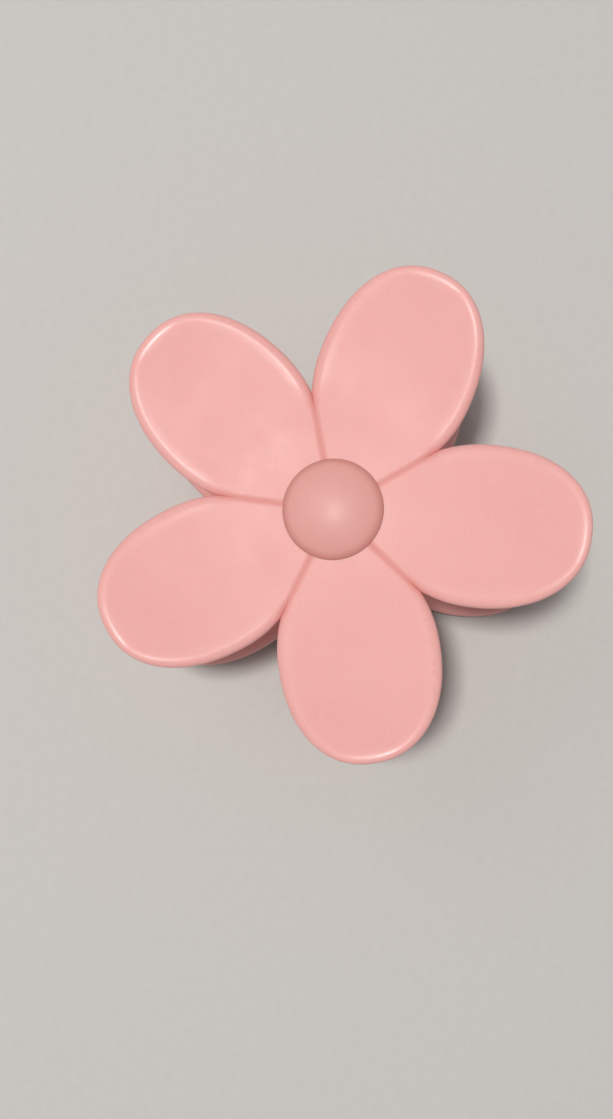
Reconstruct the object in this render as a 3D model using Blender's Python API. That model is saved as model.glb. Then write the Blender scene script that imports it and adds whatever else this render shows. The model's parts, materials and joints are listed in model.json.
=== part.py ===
"""A flower claw hair clip: two mirrored five-petal flowers, hinged on a steel pin and sprung shut.

Metres, +Z up. The clip lies shut on the petal tips of its back flower. Shapes are drawn in the clip's
own frame: X along the hinge, +Y towards the handle petal, -Y towards the jaw, and z = 0 on the mirror
plane midway between the flowers. The empty clip_frame then tilts that frame until the back flower is
level, and lifts it so that the origin is the middle of the bounding box's bottom.
"""

import math

import bmesh
import bpy
import numpy as np
from mathutils import Matrix

MM = 0.001

# Flower outline: each petal is a half ellipse towards the centre and a half superellipse at its tip.
PETALS = 5
PETAL_REACH = 38.0 * MM
PETAL_HALF_WIDTH = 12.1 * MM
WIDEST_AT = 22.0 * MM
ROOT_LENGTH = 15.5 * MM
TIP_EXPONENT = 2.2
SPINE_SETBACK = 9.0 * MM
LARGEST_INSET_SHARE = 0.6

# Flower shell: flat in the middle, then curving up towards the petal tips.
WALL = 2.4 * MM
CUP_HEIGHT = 6.5 * MM
CUP_START = 4.0 * MM
CUP_EXPONENT = 1.92
SEAM_DEPTH = 0.3 * MM
SEAM_RUN_OUT = 3.5 * MM
LAND_DEPTH = 0.3 * MM

# How the two flowers face each other when the clip is shut.
HALF_GAP = 14.0 * MM
HALF_ANGLE = math.radians(5.0)

# Centre button and the seat it is pressed into.
BUTTON_RADIUS = 7.7 * MM
BUTTON_RISE = 2.6 * MM
BUTTON_EDGE = 0.4 * MM
SEAT_DEPTH = 0.4 * MM
STEM_RADIUS = 2.2 * MM
BOSS_RADIUS = 4.2 * MM
BOSS_HEIGHT = 2.4 * MM

# Hinge: a pair of ears on each half, the back pair inside the front pair, with one pin through all four.
HINGE_Y = 6.0 * MM
EAR_RADIUS = 4.0 * MM
EAR_THICKNESS = 2.5 * MM
EAR_FLARE = 1.8 * MM
EAR_FLARE_START = 6.0 * MM
BACK_EAR_X = 5.75 * MM
FRONT_EAR_X = 8.65 * MM
PIN_RADIUS = 1.0 * MM
PIN_HOLE_RADIUS = 1.25 * MM
PIN_HEAD_RADIUS = 1.9 * MM
PIN_HEAD_THICKNESS = 0.9 * MM

# Jaw: a curved wall under each pair of jaw petals, and teeth that pass between the other half's teeth.
JAW_Y = -14.5 * MM
JAW_BEND_RADIUS = 42.0 * MM
JAW_HALF_LENGTH = 20.5 * MM
JAW_WALL = 1.8 * MM
JAW_ARC_OFFSET = 1.0 * MM
JAW_WALL_END = 8.5 * MM
JAW_WALL_RISE = 3.6 * MM
TOOTH_ARC_RADIUS = 18.0 * MM
TOOTH_ARC_HEIGHT = 3.5 * MM
TOOTH_PITCH = 6.0 * MM
TOOTH_WIDTH = 2.7 * MM
TOOTH_DEPTH = 2.6 * MM
TOOTH_TAPER = 0.42
TOOTH_END_SHARE = 0.6
TOOTH_TIP_GAP = 0.9 * MM
FRONT_TEETH = 7
BACK_TEETH = 6

# Torsion spring, wound round the pin, with one leg on each handle petal.
WIRE_RADIUS = 0.5 * MM
COIL_RADIUS = 2.9 * MM
COIL_PITCH = 1.3 * MM
COIL_TURNS = 5
LEG_SEAT_Y = 18.5 * MM
LEG_END_Y = 23.0 * MM
GUIDE_SPREAD = 1.3 * MM
GUIDE_THICKNESS = 0.9 * MM
GUIDE_HEIGHT = 1.6 * MM

GAP = 0.3 * MM
WELD = 0.001 * MM

SECTOR = math.pi / PETALS
TIP_LENGTH = PETAL_REACH - WIDEST_AT

# Across the wall, from the edge inwards: inset from the edge, and depth below the top face at the
# rounded rim and along a seam.
TOP_RINGS = (
    (0.00 * MM, 0.95 * MM, SEAM_DEPTH),
    (0.25 * MM, 0.50 * MM, 0.75 * SEAM_DEPTH),
    (0.80 * MM, 0.14 * MM, 0.15 * SEAM_DEPTH),
    (1.80 * MM, 0.00 * MM, 0.00 * MM),
)
BOTTOM_RINGS = (
    (0.00 * MM, 1.55 * MM, WALL),
    (0.45 * MM, 2.20 * MM, WALL),
    (1.20 * MM, WALL, WALL),
)

PINK = (0.84, 0.43, 0.40, 1.0)
BUTTON_PINK = (0.78, 0.39, 0.35, 1.0)
STEEL = (0.62, 0.62, 0.64, 1.0)


def clear_scene():
    for obj in list(bpy.data.objects):
        bpy.data.objects.remove(obj, do_unlink=True)


def material(name, colour, roughness, metallic):
    made = bpy.data.materials.new(name)
    made.use_nodes = True
    shader = made.node_tree.nodes["Principled BSDF"]
    shader.inputs["Base Color"].default_value = colour
    shader.inputs["Roughness"].default_value = roughness
    shader.inputs["Metallic"].default_value = metallic
    return made


def empty(name, parent, location):
    made = bpy.data.objects.new(name, None)
    bpy.context.collection.objects.link(made)
    made.parent = parent
    made.location = location
    return made


def add_object(name, bm, parent, finish=None, mirrored=False):
    """The bmesh as an object. Its shape is in the clip's frame, and its origin is its parent's."""
    bmesh.ops.remove_doubles(bm, verts=bm.verts, dist=WELD)
    if mirrored:
        bmesh.ops.scale(bm, vec=(1.0, 1.0, -1.0), verts=bm.verts)
    bmesh.ops.translate(bm, vec=-parent.location, verts=bm.verts)
    bmesh.ops.recalc_face_normals(bm, faces=bm.faces)
    mesh = bpy.data.meshes.new(name)
    bm.to_mesh(mesh)
    bm.free()
    obj = bpy.data.objects.new(name, mesh)
    bpy.context.collection.objects.link(obj)
    obj.parent = parent
    if finish:
        mesh.materials.append(finish)
        mesh.shade_smooth()
        mesh.set_sharp_from_angle(angle=math.radians(40))
    else:
        obj.hide_render = True
        obj.display_type = "WIRE"
    return obj


def combine(obj, helper, operation):
    modifier = obj.modifiers.new(helper.name, "BOOLEAN")
    modifier.operation = operation
    modifier.object = helper


# The flower's shape, in the flower's own frame: its centre at the origin, its face towards +Z.


def petal_half_width(along):
    """Half the width of a petal at this distance from the flower's centre along the petal's axis."""
    if along >= WIDEST_AT:
        share = min(1.0, (along - WIDEST_AT) / TIP_LENGTH)
        return PETAL_HALF_WIDTH * (1.0 - share**TIP_EXPONENT) ** (1.0 / TIP_EXPONENT)
    share = (WIDEST_AT - along) / ROOT_LENGTH
    return PETAL_HALF_WIDTH * math.sqrt(max(0.0, 1.0 - share**2))


def notch_along():
    """Where neighbouring petals part, measured along a petal's axis."""
    low = 0.5 * WIDEST_AT
    high = WIDEST_AT
    for _ in range(50):
        middle = 0.5 * (low + high)
        if petal_half_width(middle) > middle * math.tan(SECTOR):
            low = middle
        else:
            high = middle
    return 0.5 * (low + high)


def half_petal_edge(seam_steps, root_steps, tip_steps):
    """Points (along, across, run) from the flower's centre out along the seam, then round to the tip.

    run is the length of outline from the notch, and is negative along the seam."""
    notch = notch_along()
    points = []
    for step in range(seam_steps + 1):
        along = notch * step / seam_steps
        points.append((along, along * math.tan(SECTOR)))
    start = math.acos((WIDEST_AT - notch) / ROOT_LENGTH)
    for step in range(1, root_steps + 1):
        turn = start + (0.5 * math.pi - start) * step / root_steps
        points.append((WIDEST_AT - ROOT_LENGTH * math.cos(turn), PETAL_HALF_WIDTH * math.sin(turn)))
    for step in range(1, tip_steps + 1):
        turn = 0.5 * math.pi * step / tip_steps
        along = WIDEST_AT + TIP_LENGTH * math.sin(turn) ** (2.0 / TIP_EXPONENT)
        across = PETAL_HALF_WIDTH * abs(math.cos(turn)) ** (2.0 / TIP_EXPONENT)
        points.append((along, 0.0 if step == tip_steps else across))
    run = -math.hypot(*points[seam_steps])
    edge = []
    previous = points[0]
    for point in points:
        run += math.dist(previous, point)
        edge.append((point[0], point[1], run))
        previous = point
    return edge


def spine_along(along):
    """The point on the petal's axis that a point of its edge is joined to."""
    return along - SPINE_SETBACK * (along / PETAL_REACH) ** 4


def cup(radius):
    """Height of the shell's middle surface above the flat centre."""
    share = max(0.0, radius - CUP_START) / (PETAL_REACH - CUP_START)
    return CUP_HEIGHT * share**CUP_EXPONENT


def land_height():
    """Height of the small flats on the petal tips that the flower can rest on."""
    inset, depth, _ = TOP_RINGS[2]
    return cup(PETAL_REACH - inset) + 0.5 * WALL - depth - LAND_DEPTH


def shell_mesh():
    """The flower's shell as one closed mesh, made of half petals that are welded together."""
    edge = half_petal_edge(seam_steps=4, root_steps=4, tip_steps=8)
    bm = bmesh.new()
    for petal in range(PETALS):
        axis = 2.0 * SECTOR * petal
        for side in (1.0, -1.0):
            add_half_petal(bm, edge, axis, side)
    return bm


def add_half_petal(bm, edge, axis, side):
    """Rows of vertices from the middle of the underside, round the edge, to the middle of the top."""
    rings = [(WALL, *ring) for ring in BOTTOM_RINGS[::-1]]
    rings += [(0.0, *ring) for ring in TOP_RINGS]
    land = land_height()

    def place(along, across, depth):
        turn = axis + side * math.atan2(across, along)
        radius = math.hypot(along, across)
        height = min(cup(radius) + 0.5 * WALL - depth, land)
        return (radius * math.sin(turn), radius * math.cos(turn), height)

    rows = []
    for along, across, run in edge:
        spine = spine_along(along)
        length = math.hypot(along - spine, across)
        blend = min(1.0, max(0.0, run / SEAM_RUN_OUT))
        row = [bm.verts.new(place(spine, 0.0, WALL))]
        for face_depth, inset, rim_depth, seam_depth in rings:
            if length > WELD:
                share = min(inset / length, LARGEST_INSET_SHARE)
                depth = blend * rim_depth + (1.0 - blend) * seam_depth
                point = (along + share * (spine - along), across * (1.0 - share), depth)
            else:
                point = (along, across, face_depth)
            row.append(bm.verts.new(place(*point)))
        row.append(bm.verts.new(place(spine, 0.0, 0.0)))
        rows.append((run, row))
    wall_band = len(BOTTOM_RINGS)
    for (run, row), (_, following) in zip(rows, rows[1:]):
        for index in range(len(row) - 1):
            inside_a_seam = run < -WELD and index == wall_band
            if not inside_a_seam:
                bm.faces.new((row[index], following[index], following[index + 1], row[index + 1]))


# Placing the flower in the clip's frame.


def flower_to_clip():
    """The front flower's frame in the clip's frame."""
    centre = Matrix.Translation((0.0, 0.0, HALF_GAP * math.cos(HALF_ANGLE)))
    return centre @ Matrix.Rotation(HALF_ANGLE, 4, "X")


def shell_height(x, y):
    """Height of the front shell's middle surface over a point of the mirror plane."""
    height = 0.0
    for _ in range(4):
        along = (y + height * math.sin(HALF_ANGLE)) / math.cos(HALF_ANGLE)
        height = cup(math.hypot(x, along))
    centre = HALF_GAP * math.cos(HALF_ANGLE)
    return centre + along * math.sin(HALF_ANGLE) + height * math.cos(HALF_ANGLE)


def inner_height(x, y):
    """Height of the front shell's inner face over a point of the mirror plane."""
    return shell_height(x, y) - 0.5 * WALL / math.cos(HALF_ANGLE)


def turned(profile, steps):
    """A closed profile of (radius, height) points, spun about Z."""
    bm = bmesh.new()
    verts = [bm.verts.new((radius, 0.0, height)) for radius, height in profile]
    edges = [bm.edges.new(pair) for pair in zip(verts, verts[1:])]
    bmesh.ops.spin(
        bm,
        geom=verts + edges,
        cent=(0.0, 0.0, 0.0),
        axis=(0.0, 0.0, 1.0),
        angle=2.0 * math.pi,
        steps=steps,
        use_merge=True,
    )
    bmesh.ops.remove_doubles(bm, verts=bm.verts, dist=WELD)
    return bm


def cylinder(radius, low, high, steps):
    return turned([(0.0, low), (radius, low), (radius, high), (0.0, high)], steps)


def button_mesh():
    """Domed cap with a stem, in the flower's frame."""
    base = 0.5 * WALL - SEAT_DEPTH + GAP
    shoulder = base + BUTTON_EDGE
    sphere = (BUTTON_RADIUS**2 + BUTTON_RISE**2) / (2.0 * BUTTON_RISE)
    stem_end = -0.5 * WALL - BOSS_HEIGHT - GAP
    dome_steps = 7
    profile = [(0.0, stem_end), (STEM_RADIUS, stem_end), (STEM_RADIUS, base), (BUTTON_RADIUS, base)]
    for step in range(dome_steps + 1):
        radius = BUTTON_RADIUS * math.cos(0.5 * math.pi * step / dome_steps)
        height = shoulder + BUTTON_RISE - sphere + math.sqrt(sphere**2 - radius**2)
        profile.append((0.0 if step == dome_steps else radius, height))
    bm = turned(profile, 30)
    bm.transform(flower_to_clip())
    return bm


def extruded_along_x(outline, middle, thickness):
    """A (y, z) outline as a plate of this thickness, centred on x = middle."""
    bm = bmesh.new()
    face = bm.faces.new([bm.verts.new((middle - 0.5 * thickness, y, z)) for y, z in outline])
    grown = bmesh.ops.extrude_face_region(bm, geom=[face])
    moved = [item for item in grown["geom"] if isinstance(item, bmesh.types.BMVert)]
    bmesh.ops.translate(bm, vec=(thickness, 0.0, 0.0), verts=moved)
    return bm


def ear_mesh(middle):
    """Hinge ear: round at the pin, straight-sided, and flared where it grows from the shell."""
    arc_steps = 12
    flare_steps = 4
    outline = []
    for step in range(arc_steps + 1):
        turn = -math.pi * step / arc_steps
        outline.append((HINGE_Y + EAR_RADIUS * math.cos(turn), EAR_RADIUS * math.sin(turn)))
    for side, order in ((-1.0, range(flare_steps + 1)), (1.0, range(flare_steps, -1, -1))):
        root = shell_height(middle, HINGE_Y + side * (EAR_RADIUS + EAR_FLARE))
        for step in order:
            share = step / flare_steps
            reach = EAR_RADIUS + EAR_FLARE * share**2
            outline.append((HINGE_Y + side * reach, EAR_FLARE_START + (root - EAR_FLARE_START) * share))
    return extruded_along_x(outline, middle, EAR_THICKNESS)


def tooth_route(x, low, steps):
    """(y, z, turn) along the jaw's arc at this x, from inside the shell down to the height low.

    turn is the angle about the arc's centre, so (cos turn, sin turn) points out of the arc."""
    centre_y = JAW_Y - x**2 / (2.0 * JAW_BEND_RADIUS) + TOOTH_ARC_RADIUS - JAW_ARC_OFFSET
    top = HALF_GAP
    for _ in range(4):
        reach = math.sqrt(TOOTH_ARC_RADIUS**2 - (top - TOOTH_ARC_HEIGHT) ** 2)
        top = shell_height(x, centre_y - reach)
    first = math.pi - math.asin((top - TOOTH_ARC_HEIGHT) / TOOTH_ARC_RADIUS)
    last = math.pi + math.asin((TOOTH_ARC_HEIGHT - low) / TOOTH_ARC_RADIUS)
    route = []
    for step in range(steps + 1):
        turn = first + (last - first) * step / steps
        y = centre_y + TOOTH_ARC_RADIUS * math.cos(turn)
        z = TOOTH_ARC_HEIGHT + TOOTH_ARC_RADIUS * math.sin(turn)
        route.append((y, z, turn))
    return route


def tooth_end(x):
    """Height at which a tooth stops, just short of the other half's inner face."""
    low = -0.8 * HALF_GAP
    for _ in range(4):
        y = tooth_route(x, low, 1)[-1][0]
        low = -(inner_height(x, y) - TOOTH_TIP_GAP)
    return low


def jaw_wall_mesh():
    """The curved wall that the teeth grow from. Its free edge rises at both ends."""
    columns = 13
    grid = []
    for column in range(columns + 1):
        x = JAW_HALF_LENGTH * (2.0 * column / columns - 1.0)
        inner = []
        outer = []
        end = JAW_WALL_END + JAW_WALL_RISE * abs(x / JAW_HALF_LENGTH) ** 6
        for y, z, turn in tooth_route(x, end, 3):
            step_y = 0.5 * JAW_WALL * math.cos(turn)
            step_z = 0.5 * JAW_WALL * math.sin(turn)
            outer.append((x, y + step_y, z + step_z))
            inner.append((x, y - step_y, z - step_z))
        grid.append(outer + inner[::-1])
    bm = bmesh.new()
    loops = [[bm.verts.new(point) for point in section] for section in grid]
    for loop, following in zip(loops, loops[1:]):
        for index in range(len(loop)):
            after = (index + 1) % len(loop)
            bm.faces.new((loop[index], loop[after], following[after], following[index]))
    bm.faces.new(loops[0])
    bm.faces.new(loops[-1][::-1])
    return bm


def tooth_mesh(x):
    """A tapering, curved tooth of eight-sided section, with a rounded end."""
    sides = 8
    steps = 9
    bm = bmesh.new()
    loops = []
    for step, (y, z, turn) in enumerate(tooth_route(x, tooth_end(x), steps)):
        share = step / steps
        size = 1.0 - TOOTH_TAPER * share**1.5
        if step == steps:
            size *= TOOTH_END_SHARE
        loop = []
        for side in range(sides):
            angle = 2.0 * math.pi * (side + 0.5) / sides
            stretch = 1.0 / math.cos(math.pi / sides)
            offset = 0.5 * TOOTH_DEPTH * size * stretch * math.sin(angle)
            shift = 0.5 * TOOTH_WIDTH * size * stretch * math.cos(angle)
            loop.append(bm.verts.new((x + shift, y + offset * math.cos(turn), z + offset * math.sin(turn))))
        loops.append(loop)
    for loop, following in zip(loops, loops[1:]):
        for index in range(sides):
            after = (index + 1) % sides
            bm.faces.new((loop[index], loop[after], following[after], following[index]))
    bm.faces.new(loops[0])
    bm.faces.new(loops[-1][::-1])
    return bm


def leg_x():
    """Half the distance between the planes of the two spring legs."""
    return 0.5 * COIL_PITCH * (COIL_TURNS + leg_wrap() / (2.0 * math.pi))


def leg_slope():
    """Angle of the front leg above the mirror plane, tangent to the coil and ending at its seat."""
    seat_z = inner_height(0.0, LEG_SEAT_Y) - GAP - WIRE_RADIUS
    reach = math.hypot(LEG_SEAT_Y - HINGE_Y, seat_z)
    straight = math.sqrt(reach**2 - COIL_RADIUS**2)
    return math.atan2(seat_z, LEG_SEAT_Y - HINGE_Y) - math.atan2(COIL_RADIUS, straight)


def leg_wrap():
    """The part turn that the wire makes beyond its whole turns."""
    return math.pi - 2.0 * leg_slope()


def guide_mesh(x):
    """A small rib beside the spring leg's end, on the handle petal's inner face."""
    outline = []
    for y in (LEG_SEAT_Y, LEG_END_Y):
        outline.append((y, inner_height(x, y) - GUIDE_HEIGHT))
    for y in (LEG_END_Y, LEG_SEAT_Y):
        outline.append((y, shell_height(x, y)))
    return extruded_along_x(outline, x, GUIDE_THICKNESS)


def half_clip(name, parent, finish, mirrored, ear_x, teeth, guide_x):
    """One moulding: flower shell, hinge ears, button boss, jaw wall, teeth and spring guides."""
    shell = shell_mesh()
    shell.transform(flower_to_clip())
    obj = add_object(name, shell, parent, finish, mirrored)

    added = {"jaw_wall": jaw_wall_mesh()}
    boss = cylinder(BOSS_RADIUS, -0.5 * WALL - BOSS_HEIGHT, -0.1 * WALL, 20)
    boss.transform(flower_to_clip())
    added["boss"] = boss
    for index, x in enumerate((-ear_x, ear_x)):
        added[f"ear_{index}"] = ear_mesh(x)
    for index, x in enumerate((guide_x - GUIDE_SPREAD, guide_x + GUIDE_SPREAD)):
        added[f"guide_{index}"] = guide_mesh(x)
    for index in range(teeth):
        added[f"tooth_{index}"] = tooth_mesh((index - 0.5 * (teeth - 1)) * TOOTH_PITCH)
    for label, shape in added.items():
        combine(obj, add_object(f"{name}_{label}", shape, parent, mirrored=mirrored), "UNION")

    seat = cylinder(BUTTON_RADIUS + GAP, 0.5 * WALL - SEAT_DEPTH, 2.0 * WALL, 40)
    bore = cylinder(STEM_RADIUS + GAP, -4.0 * WALL, 2.0 * WALL, 20)
    for label, shape in (("seat", seat), ("bore", bore)):
        shape.transform(flower_to_clip())
        combine(obj, add_object(f"{name}_{label}", shape, parent, mirrored=mirrored), "DIFFERENCE")
    hole = cylinder(PIN_HOLE_RADIUS, -2.0 * FRONT_EAR_X, 2.0 * FRONT_EAR_X, 24)
    hole.transform(along_hinge())
    combine(obj, add_object(f"{name}_pin_hole", hole, parent), "DIFFERENCE")
    return obj


def along_hinge():
    """Turns a shape made along Z onto the hinge axis."""
    return Matrix.Translation((0.0, HINGE_Y, 0.0)) @ Matrix.Rotation(0.5 * math.pi, 4, "Y")


def pin_mesh():
    """Hinge pin: a round head at one end, and a smaller upset head at the other."""
    face = FRONT_EAR_X + 0.5 * EAR_THICKNESS + GAP
    end = face + PIN_HEAD_THICKNESS
    soft = 0.3 * MM
    upset_radius = 1.5 * MM
    profile = [
        (0.0, -end),
        (PIN_HEAD_RADIUS - soft, -end),
        (PIN_HEAD_RADIUS, -end + soft),
        (PIN_HEAD_RADIUS, -face),
        (PIN_RADIUS, -face),
        (PIN_RADIUS, face),
        (upset_radius, face + soft),
        (upset_radius - soft, end - soft),
        (0.0, end - soft),
    ]
    bm = turned(profile, 24)
    bm.transform(along_hinge())
    return bm


def spring_route():
    """The spring's wire: up the back leg, round the coil, and out along the front leg."""
    slope = leg_slope()
    half_width = leg_x()
    turns = COIL_TURNS * 2.0 * math.pi + leg_wrap()
    coil_steps = 12 * COIL_TURNS + 4
    leg = []
    for y in (LEG_END_Y, 0.5 * (LEG_END_Y + LEG_SEAT_Y), LEG_SEAT_Y):
        leg.append((y, inner_height(0.0, y) - GAP - WIRE_RADIUS))
    points = [(-half_width, y, -z) for y, z in leg]
    for step in range(coil_steps + 1):
        share = step / coil_steps
        turn = -(0.5 * math.pi + slope) - turns * share
        y = HINGE_Y + COIL_RADIUS * math.cos(turn)
        z = COIL_RADIUS * math.sin(turn)
        points.append((half_width * (2.0 * share - 1.0), y, z))
    points += [(half_width, y, z) for y, z in leg[::-1]]
    return points


def torsion_spring(parent, finish):
    curve = bpy.data.curves.new("torsion_spring", "CURVE")
    curve.dimensions = "3D"
    curve.bevel_depth = WIRE_RADIUS
    curve.bevel_resolution = 2
    curve.use_fill_caps = True
    spline = curve.splines.new("POLY")
    route = np.array(spring_route()) - np.array(parent.location)
    spline.points.add(len(route) - 1)
    for point, place in zip(spline.points, route):
        point.co = (*place, 1.0)
    curve.materials.append(finish)
    obj = bpy.data.objects.new("torsion_spring", curve)
    bpy.context.collection.objects.link(obj)
    obj.parent = parent
    return obj


def stand_on_petals(frame, objects):
    """Levels the back flower, and puts the origin at the middle of the bounding box's bottom."""
    frame.rotation_euler = (HALF_ANGLE, 0.0, 0.0)
    bpy.context.view_layer.update()
    graph = bpy.context.evaluated_depsgraph_get()
    corners = []
    for obj in objects:
        shape = obj.evaluated_get(graph)
        mesh = shape.to_mesh()
        corners += [shape.matrix_world @ vert.co for vert in mesh.vertices]
        shape.to_mesh_clear()
    points = np.array(corners)
    low = points.min(axis=0)
    high = points.max(axis=0)
    frame.location = (-0.5 * (low[0] + high[0]), -0.5 * (low[1] + high[1]), -low[2])


def main():
    clear_scene()
    pink = material("pink_plastic", PINK, 0.32, 0.0)
    button_pink = material("button_plastic", BUTTON_PINK, 0.42, 0.0)
    steel = material("spring_steel", STEEL, 0.3, 1.0)

    frame = empty("clip_frame", None, (0.0, 0.0, 0.0))
    back = empty("back_half_axis", frame, (0.0, HINGE_Y, 0.0))
    front = empty("front_half_axis", frame, (0.0, HINGE_Y, 0.0))

    halves = [
        half_clip("back_flower_half", back, pink, True, BACK_EAR_X, BACK_TEETH, -leg_x()),
        half_clip("front_flower_half", front, pink, False, FRONT_EAR_X, FRONT_TEETH, leg_x()),
    ]
    buttons = [
        add_object("back_centre_button", button_mesh(), back, button_pink, mirrored=True),
        add_object("front_centre_button", button_mesh(), front, button_pink),
    ]
    pin = add_object("hinge_pin", pin_mesh(), back, steel)
    spring = torsion_spring(back, steel)
    stand_on_petals(frame, halves + buttons + [pin, spring])


main()
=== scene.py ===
"""The looks of a flower claw hair clip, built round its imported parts.

Everything is in metres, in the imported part's own frame. The clip lies shut on the petal tips of its back
flower. Shapes are drawn in the clip's frame (X along the hinge, +Y towards the handle petal, z = 0 midway
between the flowers) and then placed with clip_to_row().
"""

import json
import math

import bmesh
import bpy
import numpy as np
from mathutils import Matrix, Vector


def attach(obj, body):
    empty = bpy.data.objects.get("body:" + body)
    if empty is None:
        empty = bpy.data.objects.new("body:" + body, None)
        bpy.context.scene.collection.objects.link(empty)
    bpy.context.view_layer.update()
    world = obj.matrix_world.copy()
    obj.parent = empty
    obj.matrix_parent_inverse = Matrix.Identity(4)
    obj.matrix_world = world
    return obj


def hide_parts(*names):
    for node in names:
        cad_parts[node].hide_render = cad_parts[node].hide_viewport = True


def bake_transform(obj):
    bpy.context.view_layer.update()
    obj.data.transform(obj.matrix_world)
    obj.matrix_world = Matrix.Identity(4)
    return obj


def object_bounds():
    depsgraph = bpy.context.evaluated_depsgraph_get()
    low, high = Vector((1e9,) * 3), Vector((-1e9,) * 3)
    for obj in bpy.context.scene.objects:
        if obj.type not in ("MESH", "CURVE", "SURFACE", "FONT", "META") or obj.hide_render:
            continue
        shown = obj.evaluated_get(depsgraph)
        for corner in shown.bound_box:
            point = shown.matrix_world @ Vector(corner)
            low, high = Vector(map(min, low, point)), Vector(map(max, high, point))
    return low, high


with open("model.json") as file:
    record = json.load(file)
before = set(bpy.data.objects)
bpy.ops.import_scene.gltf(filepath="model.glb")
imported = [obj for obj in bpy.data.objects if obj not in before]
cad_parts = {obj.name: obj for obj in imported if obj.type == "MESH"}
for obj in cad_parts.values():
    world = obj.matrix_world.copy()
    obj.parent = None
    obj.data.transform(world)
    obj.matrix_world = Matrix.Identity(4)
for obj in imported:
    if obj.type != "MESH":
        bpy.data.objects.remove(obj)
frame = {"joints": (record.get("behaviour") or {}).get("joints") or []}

CAD_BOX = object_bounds()
HINGE = Vector(frame["joints"][0]["pos_m"])
MM = 0.001

# The design's driving dimensions.
PETALS = 5
PETAL_REACH = 38.0 * MM
PETAL_HALF_WIDTH = 12.1 * MM
WIDEST_AT = 22.0 * MM
ROOT_LENGTH = 15.5 * MM
TIP_EXPONENT = 2.2
SPINE_SETBACK = 9.0 * MM
LARGEST_INSET_SHARE = 0.6

WALL = 2.4 * MM
CUP_HEIGHT = 6.5 * MM
CUP_START = 4.0 * MM
CUP_EXPONENT = 1.92
SEAM_DEPTH = 0.17 * MM
SEAM_HALF_WIDTH = 0.95 * MM
SEAM_EXPONENT = 1.6
SEAM_FLARE = 3.6 * MM
LAND_INSET = 0.8 * MM
LAND_DEPTH = 0.44 * MM
LAND_SOFTNESS = 0.25 * MM

# The rim's two rolled edges: how far each reaches in from the outline, and how deep.
TOP_ROLL = (1.7 * MM, 1.05 * MM)
BOTTOM_ROLL = (1.2 * MM, 0.85 * MM)

HALF_GAP = 14.0 * MM
HALF_ANGLE = math.radians(5.0)

BUTTON_RADIUS = 7.7 * MM
BUTTON_RISE = 2.6 * MM
BUTTON_EDGE = 0.4 * MM
BUTTON_ROUNDING = 0.4 * MM
BUTTON_EDGE_SHADE_WIDTH = 0.75 * MM
BUTTON_FIT = 0.01 * MM
SEAT_DEPTH = 0.4 * MM
STEM_RADIUS = 2.2 * MM
STEM_CHAMFER = 0.3 * MM
BOSS_RADIUS = 4.2 * MM
BOSS_HEIGHT = 2.4 * MM
BOSS_CHAMFER = 0.35 * MM
BOSS_FILLET = 0.9 * MM

HINGE_Y = 6.0 * MM
EAR_RADIUS = 4.0 * MM
EAR_THICKNESS = 2.5 * MM
EAR_FLARE = 1.8 * MM
EAR_FLARE_START = 6.0 * MM
EAR_ROUNDING = 0.3 * MM
BACK_EAR_X = 5.75 * MM
FRONT_EAR_X = 8.65 * MM
PIN_RADIUS = 1.0 * MM
PIN_HOLE_RADIUS = 1.25 * MM
PIN_HEAD_RADIUS = 1.9 * MM
PIN_HEAD_THICKNESS = 0.9 * MM
PIN_UPSET_RADIUS = 1.5 * MM
PIN_ROUNDING = 0.1 * MM

JAW_Y = -14.5 * MM
JAW_BEND_RADIUS = 42.0 * MM
JAW_HALF_LENGTH = 20.5 * MM
JAW_WALL = 1.8 * MM
JAW_ARC_OFFSET = 1.0 * MM
JAW_WALL_END = 8.5 * MM
JAW_WALL_RISE = 3.6 * MM
JAW_WALL_RISE_EXPONENT = 6
JAW_WALL_LEAST = 0.08 * MM
TOOTH_ARC_RADIUS = 18.0 * MM
TOOTH_ARC_HEIGHT = 3.5 * MM
TOOTH_PITCH = 6.0 * MM
TOOTH_WIDTH = 2.7 * MM
TOOTH_DEPTH = 2.6 * MM
TOOTH_TAPER = 0.42
TOOTH_TAPER_EXPONENT = 1.5
TOOTH_SECTION_EXPONENT = 0.8
TOOTH_ROOT_SWELL = 0.35
TOOTH_ROOT_LENGTH = 4.0 * MM
TOOTH_END_LENGTH = 1.1 * MM
TOOTH_END_LEAST = 0.02
TOOTH_TIP_GAP = 0.9 * MM
FRONT_TEETH = 7
BACK_TEETH = 6

WIRE_RADIUS = 0.5 * MM
WIRE_END_ROUNDING = 0.12 * MM
COIL_RADIUS = 2.9 * MM
COIL_PITCH = 1.3 * MM
COIL_TURNS = 5
LEG_SEAT_Y = 18.5 * MM
LEG_END_Y = 23.0 * MM
GUIDE_SPREAD = 1.3 * MM
GUIDE_THICKNESS = 0.9 * MM
GUIDE_HEIGHT = 1.6 * MM
GUIDE_ROUNDING = 0.2 * MM

GAP = 0.3 * MM
WELD = 0.0005 * MM
SLIVER = 0.012 * MM
SECTOR = math.pi / PETALS
TIP_LENGTH = PETAL_REACH - WIDEST_AT

# Where the plastic's colour and gloss change: down the wall, beside a seam, where shade is painted, and
# along a rolled rim, where a highlight is painted and the gloss is polished.
SHADE_SHEEN_AND_POLISH_DEPTH = 0.7 * WALL
SEAM_SHADE_HALF_WIDTH = 0.6 * SEAM_HALF_WIDTH
RIM_SHEEN_AND_POLISH_WIDTH = 0.8 * TOP_ROLL[0]
RIM_SHEEN_AND_POLISH_SOFTNESS = 0.3 * TOP_ROLL[0]
RIM_SHEEN_AND_POLISH_START = 3.0 * MM

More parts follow.
